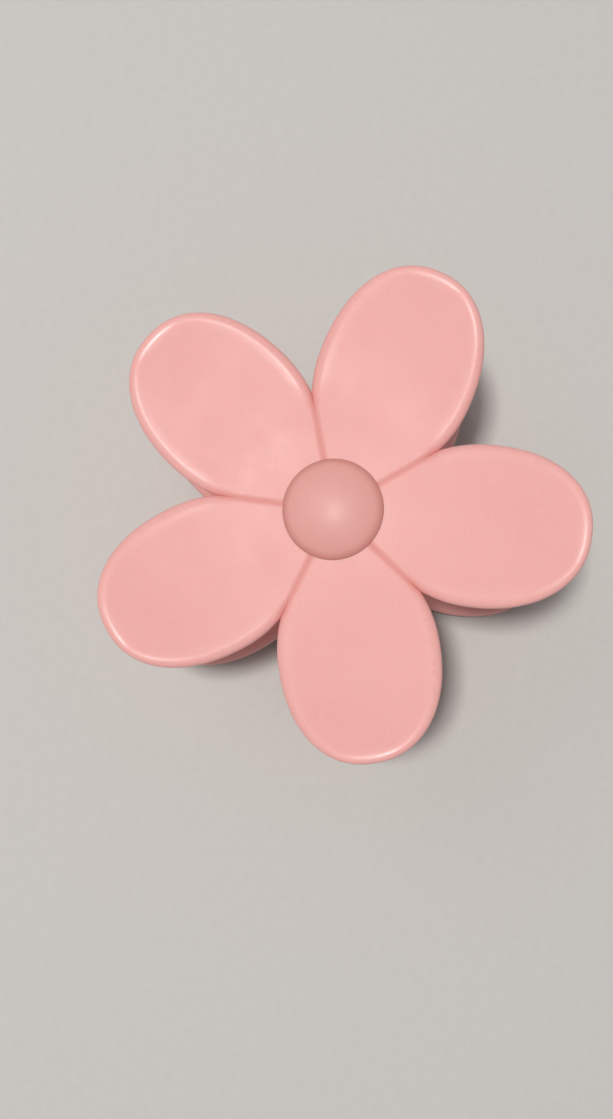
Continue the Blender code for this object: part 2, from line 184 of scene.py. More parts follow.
# How wide the features of each pattern in the materials are.
CLOUDS = 14.0 * MM
SMEARS = 9.0 * MM
RIPPLES = 2.6 * MM
SPECKLE = 0.5 * MM
GRAIN = 0.16 * MM
STEEL_PATCHES = 3.0 * MM
STEEL_SCRATCHES = 0.12 * MM
FLOOR_MOTTLE = 1.5 * MM

FLOOR_HALF_WIDTH = 1.5
FLOOR_DROP = 0.02 * MM

# The camera, in a frame square to the view (x right, y up, z towards the camera) whose origin is 182 mm
# in front of the lens, about where the front flower is.
LENS = 38.6
VIEW_DISTANCE = 182.24 * MM
FLOWER_SHIFT = (4.15 * MM, 7.48 * MM, 0.0)
FLOWER_TILT = (math.radians(-5.04), math.radians(-7.91))
HANDLE_BEARING = math.radians(97.5)


def clip_to_row():
    """The clip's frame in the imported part's frame: tilted until the back flower is level."""
    tilt = Matrix.Rotation(HALF_ANGLE, 4, "X")
    return Matrix.Translation(HINGE) @ tilt @ Matrix.Translation((0.0, -HINGE_Y, 0.0))


def flower_to_clip():
    """The front flower's frame in the clip's frame."""
    centre = Matrix.Translation((0.0, 0.0, HALF_GAP * math.cos(HALF_ANGLE)))
    return centre @ Matrix.Rotation(HALF_ANGLE, 4, "X")


# The flower's shape, in the flower's own frame: its centre at the origin, its face towards +Z.


def petal_half_width(along):
    """Half the width of a petal at this distance from the flower's centre along the petal's axis."""
    if along >= WIDEST_AT:
        share = min(1.0, (along - WIDEST_AT) / TIP_LENGTH)
        return PETAL_HALF_WIDTH * (1.0 - share**TIP_EXPONENT) ** (1.0 / TIP_EXPONENT)
    share = (WIDEST_AT - along) / ROOT_LENGTH
    return PETAL_HALF_WIDTH * math.sqrt(max(0.0, 1.0 - share**2))


def notch_along():
    """Where neighbouring petals part, measured along a petal's axis."""
    low = 0.5 * WIDEST_AT
    high = WIDEST_AT
    for _ in range(50):
        middle = 0.5 * (low + high)
        if petal_half_width(middle) > middle * math.tan(SECTOR):
            low = middle
        else:
            high = middle
    return 0.5 * (low + high)


def half_petal_edge(seam_steps, root_steps, tip_steps):
    """Points (along, across, run) from the flower's centre out along the seam, then round to the tip.

    run is the length of outline from the notch, and is negative along the seam."""
    notch = notch_along()
    points = []
    for step in range(seam_steps + 1):
        along = notch * step / seam_steps
        points.append((along, along * math.tan(SECTOR)))
    start = math.acos((WIDEST_AT - notch) / ROOT_LENGTH)
    for step in range(1, root_steps + 1):
        turn = start + (0.5 * math.pi - start) * step / root_steps
        points.append((WIDEST_AT - ROOT_LENGTH * math.cos(turn), PETAL_HALF_WIDTH * math.sin(turn)))
    for step in range(1, tip_steps + 1):
        turn = 0.5 * math.pi * step / tip_steps
        along = WIDEST_AT + TIP_LENGTH * math.sin(turn) ** (2.0 / TIP_EXPONENT)
        across = PETAL_HALF_WIDTH * abs(math.cos(turn)) ** (2.0 / TIP_EXPONENT)
        points.append((along, 0.0 if step == tip_steps else across))
    run = -math.hypot(*points[seam_steps])
    edge = []
    previous = points[0]
    for point in points:
        run += math.dist(previous, point)
        edge.append((point[0], point[1], run))
        previous = point
    return edge


def spine_along(along):
    """The point on the petal's axis that a point of its edge is joined to."""
    return along - SPINE_SETBACK * (along / PETAL_REACH) ** 4


def cup(radius):
    """Height of the shell's middle surface above the flat centre."""
    share = max(0.0, radius - CUP_START) / (PETAL_REACH - CUP_START)
    return CUP_HEIGHT * share**CUP_EXPONENT


def soft_minimum(height, limit):
    """The smaller of the two, with the corner between them rounded off."""
    near = max(LAND_SOFTNESS - abs(height - limit), 0.0) / LAND_SOFTNESS
    return min(height, limit) - 0.25 * LAND_SOFTNESS * near**2


def smooth(share):
    share = min(1.0, max(0.0, share))
    return share * share * (3.0 - 2.0 * share)


def seam_depth(inset):
    """Depth of the groove between two petals at this distance from its middle."""
    return SEAM_DEPTH * max(0.0, 1.0 - inset / SEAM_HALF_WIDTH) ** SEAM_EXPONENT


def rim_rings():
    """(side, inset, rim depth, seam depth) round the wall's edge, from the underside to the top."""
    steps = 9
    rings = []
    reach, drop = BOTTOM_ROLL
    for step in range(steps + 1):
        turn = 0.5 * math.pi * step / steps
        rings.append((-1, reach * (1.0 - math.sin(turn)), WALL - drop * (1.0 - math.cos(turn)), WALL))
    reach, drop = TOP_ROLL
    for step in range(steps, -1, -1):
        turn = 0.5 * math.pi * step / steps
        inset = reach * (1.0 - math.sin(turn))
        rings.append((1, inset, drop * (1.0 - math.cos(turn)), seam_depth(inset)))
    return rings


def shell_mesh(with_land):
    """The flower's shell as one closed mesh, made of half petals that are welded together."""
    edge = half_petal_edge(seam_steps=22, root_steps=14, tip_steps=30)
    bm = bmesh.new()
    for petal in range(PETALS):
        for side in (1.0, -1.0):
            add_half_petal(bm, edge, 2.0 * SECTOR * petal, side, with_land)
    bmesh.ops.remove_doubles(bm, verts=bm.verts, dist=WELD)
    return bm


def add_half_petal(bm, edge, axis, side, with_land):
    """Rows of vertices from the middle of the underside, round the edge, to the middle of the top."""
    face_steps = 9
    rings = rim_rings()
    wall_band = len(rings) // 2 - 1 + face_steps
    land = cup(PETAL_REACH - LAND_INSET) + 0.5 * WALL - LAND_DEPTH

    def place(along, across, depth):
        turn = axis + side * math.atan2(across, along)
        radius = math.hypot(along, across)
        height = cup(radius) + 0.5 * WALL - depth
        if with_land:
            height = soft_minimum(height, land)
        return (radius * math.sin(turn), radius * math.cos(turn), height)

    rows = []
    for along, across, run in edge:
        spine = spine_along(along)
        length = math.hypot(along - spine, across)
        blend = smooth(1.0 + run / SEAM_FLARE)
        places = []
        for level, inset, rim, seam in rings:
            if length > WELD:
                share = min(inset / length, LARGEST_INSET_SHARE)
                places.append((share, blend * rim + (1.0 - blend) * seam))
            else:
                places.append((0.0, WALL if level < 0 else 0.0))
        first, last = places[0][0], places[-1][0]
        under = [(1.0 - (1.0 - first) * step / face_steps, WALL) for step in range(face_steps)]
        over = [(last + (1.0 - last) * step / face_steps, 0.0) for step in range(1, face_steps + 1)]
        row = []
        for share, depth in under + places + over:
            point = place(along + share * (spine - along), across * (1.0 - share), depth)
            row.append(bm.verts.new(point))
        rows.append((run, row))
    for (run, row), (_, following) in zip(rows, rows[1:]):
        for index in range(len(row) - 1):
            inside_a_seam = run < -WELD and index == wall_band
            if not inside_a_seam:
                bm.faces.new((row[index], following[index], following[index + 1], row[index + 1]))


# Heights over the mirror plane, in the clip's frame.


def shell_height(x, y):
    """Height of the front shell's middle surface over a point of the mirror plane."""
    height = 0.0
    for _ in range(4):
        along = (y + height * math.sin(HALF_ANGLE)) / math.cos(HALF_ANGLE)
        height = cup(math.hypot(x, along))
    centre = HALF_GAP * math.cos(HALF_ANGLE)
    return centre + along * math.sin(HALF_ANGLE) + height * math.cos(HALF_ANGLE)


def inner_height(x, y):
    """Height of the front shell's inner face over a point of the mirror plane."""
    return shell_height(x, y) - 0.5 * WALL / math.cos(HALF_ANGLE)


# Shapes inside the clip, in the clip's frame.


def turned(profile, steps):
    """A closed profile of (radius, height) points, spun about Z."""
    bm = bmesh.new()
    verts = [bm.verts.new((radius, 0.0, height)) for radius, height in profile]
    edges = [bm.edges.new(pair) for pair in zip(verts, verts[1:])]
    bmesh.ops.spin(
        bm,
        geom=verts + edges,
        cent=(0.0, 0.0, 0.0),
        axis=(0.0, 0.0, 1.0),
        angle=2.0 * math.pi,
        steps=steps,
        use_merge=True,
    )
    bmesh.ops.remove_doubles(bm, verts=bm.verts, dist=WELD)
    bmesh.ops.recalc_face_normals(bm, faces=bm.faces)
    return bm


def rounded_profile(points, radius, steps):
    """The points of a profile, with each corner but the first and last rounded to this radius.

    A rounding takes less than half of the side before it and after it, so no two of them meet."""
    largest_share = 0.45
    made = [points[0]]
    for before, corner, after in zip(points, points[1:], points[2:]):
        corner = Vector(corner)
        back = Vector(before) - corner
        onward = Vector(after) - corner
        reach = min(radius, largest_share * back.length, largest_share * onward.length)
        for step in range(steps + 1):
            share = step / steps
            start = corner + back.normalized() * reach * (1.0 - share)
            end = corner + onward.normalized() * reach * share
            made.append(tuple(start.lerp(end, share)))
    made.append(points[-1])
    return made


def extruded_along_x(outline, middle, thickness, rounding):
    """A (y, z) outline as a plate of this thickness, centred on x = middle, with rounded edges."""
    bm = bmesh.new()
    face = bm.faces.new([bm.verts.new((middle - 0.5 * thickness, y, z)) for y, z in outline])
    grown = bmesh.ops.extrude_face_region(bm, geom=[face])
    moved = [item for item in grown["geom"] if isinstance(item, bmesh.types.BMVert)]
    bmesh.ops.translate(bm, vec=(thickness, 0.0, 0.0), verts=moved)
    bmesh.ops.recalc_face_normals(bm, faces=bm.faces)
    edges = [edge for edge in bm.edges if abs(edge.verts[0].co.x - edge.verts[1].co.x) < WELD]
    bmesh.ops.bevel(
        bm,
        geom=edges,
        offset=rounding,
        segments=3,
        profile=0.5,
        affect="EDGES",
        clamp_overlap=True,
    )
    return bm


def ear_mesh(middle):
    """Hinge ear: round at the pin, straight-sided, and flared where it grows from the shell."""
    arc_steps = 36
    flare_steps = 10
    outline = []
    for step in range(arc_steps + 1):
        turn = -math.pi * step / arc_steps
        outline.append((HINGE_Y + EAR_RADIUS * math.cos(turn), EAR_RADIUS * math.sin(turn)))
    for side, order in ((-1.0, range(flare_steps + 1)), (1.0, range(flare_steps, -1, -1))):
        root = shell_height(middle, HINGE_Y + side * (EAR_RADIUS + EAR_FLARE))
        for step in order:
            share = step / flare_steps
            reach = EAR_RADIUS + EAR_FLARE * share**3
            height = EAR_FLARE_START + (root - EAR_FLARE_START) * share
            outline.append((HINGE_Y + side * reach, height))
    return extruded_along_x(outline, middle, EAR_THICKNESS, EAR_ROUNDING)


def tooth_route(x, low, steps):
    """(y, z, turn) along the jaw's arc at this x, from inside the shell down to the height low.

    turn is the angle about the arc's centre, so (cos turn, sin turn) points out of the arc."""
    centre_y = JAW_Y - x**2 / (2.0 * JAW_BEND_RADIUS) + TOOTH_ARC_RADIUS - JAW_ARC_OFFSET
    top = HALF_GAP
    for _ in range(4):
        reach = math.sqrt(TOOTH_ARC_RADIUS**2 - (top - TOOTH_ARC_HEIGHT) ** 2)
        top = shell_height(x, centre_y - reach)
    first = math.pi - math.asin((top - TOOTH_ARC_HEIGHT) / TOOTH_ARC_RADIUS)
    last = math.pi + math.asin((TOOTH_ARC_HEIGHT - low) / TOOTH_ARC_RADIUS)
    route = []
    for step in range(steps + 1):
        turn = first + (last - first) * step / steps
        y = centre_y + TOOTH_ARC_RADIUS * math.cos(turn)
        z = TOOTH_ARC_HEIGHT + TOOTH_ARC_RADIUS * math.sin(turn)
        route.append((y, z, turn))
    return route


def tooth_end(x):
    """Height at which a tooth stops, just short of the other half's inner face."""
    first_guess = -0.8 * HALF_GAP
    low = first_guess
    for _ in range(4):
        y = tooth_route(x, low, steps=1)[-1][0]
        low = -(inner_height(x, y) - TOOTH_TIP_GAP)
    return low


def bridged(loops):
    """A closed tube through rings of points, with a flat cap at each end."""
    bm = bmesh.new()
    rings = [[bm.verts.new(point) for point in loop] for loop in loops]
    for ring, following in zip(rings, rings[1:]):
        for index in range(len(ring)):
            after = (index + 1) % len(ring)
            bm.faces.new((ring[index], ring[after], following[after], following[index]))
    bm.faces.new(rings[0])
    bm.faces.new(rings[-1][::-1])
    bmesh.ops.recalc_face_normals(bm, faces=bm.faces)
    return bm


def jaw_wall_mesh():
    """The curved wall that the teeth grow from, with a round free edge that rises at both ends."""
    columns = 71
    down_steps = 10
    round_steps = 6
    sections = []
    for column in range(columns + 1):
        share = math.sin(0.5 * math.pi * (2.0 * column / columns - 1.0))
        x = JAW_HALF_LENGTH * share
        to_end = min(JAW_HALF_LENGTH - abs(x) + JAW_WALL_LEAST, 0.5 * JAW_WALL)
        half = math.sqrt((0.5 * JAW_WALL) ** 2 - (0.5 * JAW_WALL - to_end) ** 2)
        end = JAW_WALL_END + JAW_WALL_RISE * abs(share) ** JAW_WALL_RISE_EXPONENT + half
        route = tooth_route(x, end, down_steps)
        outer = [(x, y + half * math.cos(turn), z + half * math.sin(turn)) for y, z, turn in route]
        inner = [(x, y - half * math.cos(turn), z - half * math.sin(turn)) for y, z, turn in route]
        y, z, turn = route[-1]
        rounded = []
        for step in range(1, round_steps):
            bend = math.pi * step / round_steps
            out = half * math.cos(bend)
            down = half * math.sin(bend)
            edge_y = y + out * math.cos(turn) - down * math.sin(turn)
            edge_z = z + out * math.sin(turn) + down * math.cos(turn)
            rounded.append((x, edge_y, edge_z))
        sections.append(outer + rounded + inner[::-1])
    return bridged(sections)


def squarer(value):
    """A sine or cosine, changed so that the section it draws is squarer than an ellipse."""
    return math.copysign(abs(value) ** TOOTH_SECTION_EXPONENT, value)


def tooth_mesh(x):
    """A tapering, curved tooth with a broad root and a round end."""
    sides = 20
    steps = 30
    route = tooth_route(x, tooth_end(x), steps)
    ways = [math.dist(a[:2], b[:2]) for a, b in zip(route, route[1:])]
    left = sum(ways)
    length = left
    loops = []
    for step, (y, z, turn) in enumerate(route):
        share = step / steps
        size = 1.0 - TOOTH_TAPER * share**TOOTH_TAPER_EXPONENT
        size *= 1.0 + TOOTH_ROOT_SWELL * (1.0 - smooth((length - left) / TOOTH_ROOT_LENGTH))
        if left < TOOTH_END_LENGTH:
            rounding = 1.0 - (1.0 - left / TOOTH_END_LENGTH) ** 2
            size *= math.sqrt(max(TOOTH_END_LEAST, rounding))
        loop = []
        for side in range(sides):
            angle = 2.0 * math.pi * (side + 0.5) / sides
            shift = 0.5 * TOOTH_WIDTH * size * squarer(math.cos(angle))
            offset = 0.5 * TOOTH_DEPTH * size * squarer(math.sin(angle))
            loop.append((x + shift, y + offset * math.cos(turn), z + offset * math.sin(turn)))
        loops.append(loop)
        if step < steps:
            left -= ways[step]
    return bridged(loops)


def boss_mesh():
    """The round boss that the button's stem is pressed into, with a fillet at its root."""
    root = -0.5 * WALL
    end = root - BOSS_HEIGHT
    inside_wall = root + 0.6 * WALL
    fillet_steps = 6
    profile = [(0.0, end), (BOSS_RADIUS - BOSS_CHAMFER, end), (BOSS_RADIUS, end + BOSS_CHAMFER)]
    for step in range(fillet_steps + 1):
        turn = 0.5 * math.pi * step / fillet_steps
        reach = BOSS_RADIUS + BOSS_FILLET * (1.0 - math.cos(turn))
        profile.append((reach, root - BOSS_FILLET * (1.0 - math.sin(turn))))
    profile += [(BOSS_RADIUS + BOSS_FILLET, inside_wall), (0.0, inside_wall)]
    bm = turned(profile, steps=64)
    bm.transform(flower_to_clip())
    return bm


def leg_x():
    """Half the distance between the planes of the two spring legs."""
    return 0.5 * COIL_PITCH * (COIL_TURNS + leg_wrap() / (2.0 * math.pi))


def leg_slope():
    """Angle of the front leg above the mirror plane, tangent to the coil and ending at its seat."""
    seat_z = inner_height(0.0, LEG_SEAT_Y) - GAP - WIRE_RADIUS
    reach = math.hypot(LEG_SEAT_Y - HINGE_Y, seat_z)
    straight = math.sqrt(reach**2 - COIL_RADIUS**2)
    return math.atan2(seat_z, LEG_SEAT_Y - HINGE_Y) - math.atan2(COIL_RADIUS, straight)


def leg_wrap():
    """The part turn that the wire makes beyond its whole turns."""
    return math.pi - 2.0 * leg_slope()


def guide_mesh(x):
    """A small rib beside the spring leg's end, on the handle petal's inner face."""
    outline = []
    for y in (LEG_SEAT_Y, LEG_END_Y):
        outline.append((y, inner_height(x, y) - GUIDE_HEIGHT))
    for y in (LEG_END_Y, LEG_SEAT_Y):
        outline.append((y, shell_height(x, y)))
    return extruded_along_x(outline, x, GUIDE_THICKNESS, GUIDE_ROUNDING)


def cylinder(radius, low, high, steps):
    return turned([(0.0, low), (radius, low), (radius, high), (0.0, high)], steps)


def along_hinge():
    """Turns a shape made along Z onto the hinge axis."""
    return Matrix.Translation((0.0, HINGE_Y, 0.0)) @ Matrix.Rotation(0.5 * math.pi, 4, "Y")


# Making objects.


def add_object(name, bm, mirrored=False):
    """The bmesh, drawn in the clip's frame, as an object in the row frame."""
    if mirrored:
        bmesh.ops.scale(bm, vec=(1.0, 1.0, -1.0), verts=bm.verts)
    bm.transform(clip_to_row())
    bmesh.ops.recalc_face_normals(bm, faces=bm.faces)
    mesh = bpy.data.meshes.new(name)
    bm.to_mesh(mesh)
    bm.free()
    obj = bpy.data.objects.new(name, mesh)
    bpy.context.scene.collection.objects.link(obj)
    return obj


def combine(obj, helper, operation):
    """Joins the helper's solid to the object's, or cuts it away, for good."""
    modifier = obj.modifiers.new("combine", "BOOLEAN")
    modifier.operation = operation
    modifier.object = helper
    graph = bpy.context.evaluated_depsgraph_get()
    made = bpy.data.meshes.new_from_object(obj.evaluated_get(graph))
    obj.modifiers.remove(modifier)
    old = obj.data
    obj.data = made
    made.name = old.name
    bpy.data.meshes.remove(old)
    bpy.data.objects.remove(helper, do_unlink=True)


def take_out_slivers(obj):
    """Closes up the slivers that the Booleans leave, and splits faces with many sides."""
    bm = bmesh.new()
    bm.from_mesh(obj.data)
    bmesh.ops.dissolve_degenerate(bm, dist=SLIVER, edges=bm.edges)
    many_sided = [face for face in bm.faces if len(face.verts) > 4]
    bmesh.ops.triangulate(bm, faces=many_sided, ngon_method="BEAUTY")
    bm.to_mesh(obj.data)
    bm.free()


def shade(obj, material, angle=38.0):
    obj.data.materials.clear()
    obj.data.materials.append(material)
    obj.data.shade_smooth()
    obj.data.set_sharp_from_angle(angle=math.radians(angle))


def flower_half(name, node, body, mirrored, ear_x, teeth, guide_x, material):
    """One moulding: flower shell, hinge ears, button boss, jaw wall, teeth and spring guides."""
    shell = shell_mesh(with_land=mirrored)
    shell.transform(flower_to_clip())
    obj = add_object(name, shell, mirrored)
    added = [jaw_wall_mesh(), boss_mesh()]
    added += [ear_mesh(x) for x in (-ear_x, ear_x)]
    added += [guide_mesh(x) for x in (guide_x - GUIDE_SPREAD, guide_x + GUIDE_SPREAD)]
    added += [tooth_mesh((index - 0.5 * (teeth - 1)) * TOOTH_PITCH) for index in range(teeth)]
    for shape in added:
        combine(obj, add_object("helper", shape, mirrored), "UNION")

    above = 2.0 * WALL
    below_boss = -4.0 * WALL
    past_ears = 2.0 * FRONT_EAR_X
    seat = cylinder(BUTTON_RADIUS + BUTTON_FIT, 0.5 * WALL - SEAT_DEPTH, above, steps=160)
    bore = cylinder(STEM_RADIUS + GAP, below_boss, above, steps=48)
    for shape in (seat, bore):
        shape.transform(flower_to_clip())
        combine(obj, add_object("helper", shape, mirrored), "DIFFERENCE")
    hole = cylinder(PIN_HOLE_RADIUS, -past_ears, past_ears, steps=48)
    hole.transform(along_hinge())
    combine(obj, add_object("helper", hole), "DIFFERENCE")
    take_out_slivers(obj)
    paint_shade_sheen_and_polish(obj, mirrored)
    shade(obj, material)
    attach(obj, body)
    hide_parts(node)


def points_in_flower(obj, mirrored):
    """The object's vertices, one to a row, in the frame of its own flower."""
    mirror = Matrix.Scale(-1.0 if mirrored else 1.0, 4, (0.0, 0.0, 1.0))
    to_flower = np.array(flower_to_clip().inverted() @ mirror @ clip_to_row().inverted())
    points = np.empty(3 * len(obj.data.vertices), np.float32)
    obj.data.vertices.foreach_get("co", points)
    return points.reshape(-1, 3) @ to_flower[:3, :3].T + to_flower[:3, 3]


def paint_shade_sheen_and_polish(obj, mirrored):
    """Point attributes for the material: groove, 1 in the seams, where shade is painted, and rim, 1 along
    the rolled edges, where a highlight is painted and the gloss is polished.
    """
    points = points_in_flower(obj, mirrored)
    radius = np.hypot(points[:, 0], points[:, 1])
    turn = np.arctan2(points[:, 0], points[:, 1])
    from_axis = np.abs((turn + SECTOR) % (2.0 * SECTOR) - SECTOR)
    along = radius * np.cos(from_axis)
    across = radius * np.sin(from_axis)

    cup_share = np.clip(radius - CUP_START, 0.0, None) / (PETAL_REACH - CUP_START)
    depth = CUP_HEIGHT * cup_share**CUP_EXPONENT + 0.5 * WALL - points[:, 2]
    near_top = np.clip(1.0 - depth / SHADE_SHEEN_AND_POLISH_DEPTH, 0.0, 1.0)

    to_seam = radius * np.sin(SECTOR - from_axis)
    # Painted shade: a band along each seam that the material darkens.
    groove = np.exp(-((to_seam / SEAM_SHADE_HALF_WIDTH) ** 4)) * near_top

    width = np.array([petal_half_width(min(a, PETAL_REACH)) for a in along])
    to_edge = np.minimum(width - across, np.clip(PETAL_REACH - along, 0.0, None))
    # Painted highlight along the rolled rim, which also marks where the gloss is polished.
    past_rim = np.clip(to_edge - RIM_SHEEN_AND_POLISH_WIDTH, 0.0, None)
    past_notch = np.clip((along - notch_along()) / RIM_SHEEN_AND_POLISH_START, 0.0, 1.0)
    rim = np.exp(-((past_rim / RIM_SHEEN_AND_POLISH_SOFTNESS) ** 2)) * near_top * past_notch

    for name, values in (("groove", groove), ("rim", rim)):
        attribute = obj.data.attributes.new(name, "FLOAT", "POINT")
        attribute.data.foreach_set("value", values.astype(np.float32))


def button(name, node, body, mirrored, material):
    """Domed cap with a stem whose end is staked over inside the boss."""
    base = 0.5 * WALL - SEAT_DEPTH + GAP
    shoulder = base + BUTTON_EDGE
    stem_end = -0.5 * WALL - BOSS_HEIGHT - GAP
    sphere = (BUTTON_RADIUS**2 + BUTTON_RISE**2) / (2.0 * BUTTON_RISE)
    dome_start = BUTTON_RADIUS - 2.0 * BUTTON_ROUNDING
    dome_steps = 40

    def dome(radius):
        return shoulder + BUTTON_RISE - sphere + math.sqrt(sphere**2 - radius**2)

    # The stem, from the dimple that staking leaves in its end.
    profile = [
        (0.0, stem_end + 0.25 * MM),
        (0.7 * MM, stem_end + 0.2 * MM),
        (1.1 * MM, stem_end),
        (STEM_RADIUS - STEM_CHAMFER, stem_end),
        (STEM_RADIUS, stem_end + STEM_CHAMFER),
        (STEM_RADIUS, base),
    ]
    edge = [
        (dome_start, base),
        (BUTTON_RADIUS, base),
        (BUTTON_RADIUS, shoulder),
        (dome_start, dome(dome_start)),
    ]
    profile += rounded_profile(edge, BUTTON_ROUNDING, steps=6)
    for step in range(1, dome_steps + 1):
        radius = dome_start * (1.0 - step / dome_steps)
        profile.append((radius, dome(radius)))
    bm = turned(profile, steps=128)
    # A ring of painted shade round the cap's edge, where it sits in its seat.
    from_edge = [BUTTON_RADIUS - math.hypot(*vert.co.xy) for vert in bm.verts]
    ring = [math.exp(-((inset / BUTTON_EDGE_SHADE_WIDTH) ** 2)) for inset in from_edge]
    bm.transform(flower_to_clip())
    obj = add_object(name, bm, mirrored)
    attribute = obj.data.attributes.new("groove", "FLOAT", "POINT")
    attribute.data.foreach_set("value", ring)
    shade(obj, material, 30.0)
    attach(obj, body)
    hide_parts(node)


def hinge_pin(material):
    """Hinge pin: a domed head at one end, and a smaller upset head with a dimple at the other."""
    face = FRONT_EAR_X + 0.5 * EAR_THICKNESS + GAP
    end = face + PIN_HEAD_THICKNESS
    upset = PIN_UPSET_RADIUS
    profile = [
        (0.0, -end),
        (0.9 * MM, -end + 0.03 * MM),
        (1.45 * MM, -end + 0.15 * MM),
        (PIN_HEAD_RADIUS - 0.12 * MM, -end + 0.36 * MM),
        (PIN_HEAD_RADIUS, -end + 0.6 * MM),
        (PIN_HEAD_RADIUS - 0.06 * MM, -face),
        (PIN_RADIUS, -face),
        (PIN_RADIUS, face),
        (upset - 0.15 * MM, face + 0.08 * MM),
        (upset, face + 0.3 * MM),
        (upset - 0.3 * MM, end - 0.3 * MM),
        (0.6 * MM, end - 0.32 * MM),
        (0.35 * MM, end - 0.48 * MM),
        (0.0, end - 0.5 * MM),
    ]
    bm = turned(rounded_profile(profile, PIN_ROUNDING, steps=3), steps=48)
    bm.transform(along_hinge())
    obj = add_object("steel_hinge_pin", bm)
    shade(obj, material)
    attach(obj, "back_half")
    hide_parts("hinge_pin")


def spring_route():
    """The spring's wire: up the back leg, round the coil, and out along the front leg."""
    slope = leg_slope()
    half_width = leg_x()
    turns = COIL_TURNS * 2.0 * math.pi + leg_wrap()
    coil_steps = 44 * COIL_TURNS + 16
    seat_steps = 12
    straight_steps = 36
    leg = []
    for step in range(seat_steps + 1):
        y = LEG_END_Y + (LEG_SEAT_Y - LEG_END_Y) * step / seat_steps
        leg.append((y, inner_height(0.0, y) - GAP - WIRE_RADIUS))
    tangent_y = HINGE_Y - COIL_RADIUS * math.sin(slope)
    tangent_z = COIL_RADIUS * math.cos(slope)
    seat_y, seat_z = leg[-1]
    for step in range(1, straight_steps):
        share = step / straight_steps
        y = seat_y + (tangent_y - seat_y) * share
        z = seat_z + (tangent_z - seat_z) * share
        leg.append((y, z))
    points = [(-half_width, y, -z) for y, z in leg]
    for step in range(coil_steps + 1):
        share = step / coil_steps
        turn = -(0.5 * math.pi + slope) - turns * share
        y = HINGE_Y + COIL_RADIUS * math.cos(turn)
        z = COIL_RADIUS * math.sin(turn)
        points.append((half_width * (2.0 * share - 1.0), y, z))
    points += [(half_width, y, z) for y, z in leg[::-1]]
    points = np.array(points)
    smoothings = 4
    for _ in range(smoothings):
        points[1:-1] = 0.25 * points[:-2] + 0.5 * points[1:-1] + 0.25 * points[2:]
    return points


def wire_ring(centre, normal, other, radius):
    """Points of a circle about the centre, in the plane of these two directions."""
    sides = 14
    angles = [2.0 * math.pi * side / sides for side in range(sides)]
    return [tuple(centre + radius * (math.cos(a) * normal + math.sin(a) * other)) for a in angles]


def torsion_spring(material):
    """Round wire swept along the spring's route, with slightly rounded cut ends."""
    points = spring_route()
    tangents = np.gradient(points, axis=0)
    tangents /= np.linalg.norm(tangents, axis=1)[:, None]
    normal = np.array([1.0, 0.0, 0.0])
    end_radius = WIRE_RADIUS - WIRE_END_ROUNDING
    loops = []
    for index, (point, tangent) in enumerate(zip(points, tangents)):
        normal = normal - tangent * (normal @ tangent)
        normal /= np.linalg.norm(normal)
        other = np.cross(tangent, normal)
        beyond = tangent * WIRE_END_ROUNDING
        if index == 0:
            loops.append(wire_ring(point - beyond, normal, other, end_radius))
        loops.append(wire_ring(point, normal, other, WIRE_RADIUS))
        if index == len(points) - 1:
            loops.append(wire_ring(point + beyond, normal, other, end_radius))
    obj = add_object("steel_torsion_spring", bridged(loops))
    shade(obj, material, 50.0)
    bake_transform(obj)
    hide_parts("torsion_spring")


# Materials.


class Nodes:
    """A short way to build a material's node tree."""

    def __init__(self, name):
        self.material = bpy.data.materials.new(name)
        self.material.use_nodes = True
        self.tree = self.material.node_tree
        self.shader = self.tree.nodes["Principled BSDF"]

    def add(self, kind, settings=None, **inputs):
        node = self.tree.nodes.new(kind)
        for key, value in (settings or {}).items():
            setattr(node, key, value)
        for key, value in inputs.items():
            self.give(node.inputs[key.replace("_", " ")], value)
        return node

    def give(self, socket, value):
        if isinstance(value, bpy.types.NodeSocket):
            self.tree.links.new(value, socket)
        else:
            socket.default_value = value

    def place(self):
        return self.add("ShaderNodeTexCoord").outputs["Object"]

    def noise(self, place, size, detail=2.0, rough=0.5):
        """Noise whose features are about this many metres across."""
        node = self.add("ShaderNodeTexNoise", Vector=place, Scale=1.0 / size)
        self.give(node.inputs["Detail"], detail)
        self.give(node.inputs["Roughness"], rough)
        return node.outputs["Fac"]

    def spread(self, value, low, high, to_low, to_high):
        """A value from low to high, mapped to to_low to to_high."""
        node = self.add("ShaderNodeMapRange")
        for index, item in enumerate((value, low, high, to_low, to_high)):
            self.give(node.inputs[index], item)
        return node.outputs["Result"]

    def math(self, operation, *values):
        node = self.add("ShaderNodeMath", {"operation": operation})
        for index, item in enumerate(values):
            self.give(node.inputs[index], item)
        return node.outputs["Value"]

    def mix(self, share, first, second):
        node = self.add("ShaderNodeMix", {"data_type": "RGBA"})
        self.give(node.inputs[0], share)
        self.give(node.inputs[6], first)
        self.give(node.inputs[7], second)
        return node.outputs[2]

    def attribute(self, name):
        return self.add("ShaderNodeAttribute", {"attribute_name": name}).outputs["Fac"]

    def bump(self, height, distance, strength, normal=None):
        node = self.add("ShaderNodeBump", Height=height, Distance=distance, Strength=strength)
        if normal:
            self.give(node.inputs["Normal"], normal)
        return node.outputs["Normal"]

    def shader_inputs(self, **inputs):
        for key, value in inputs.items():
            self.give(self.shader.inputs[key.replace("_", " ")], value)


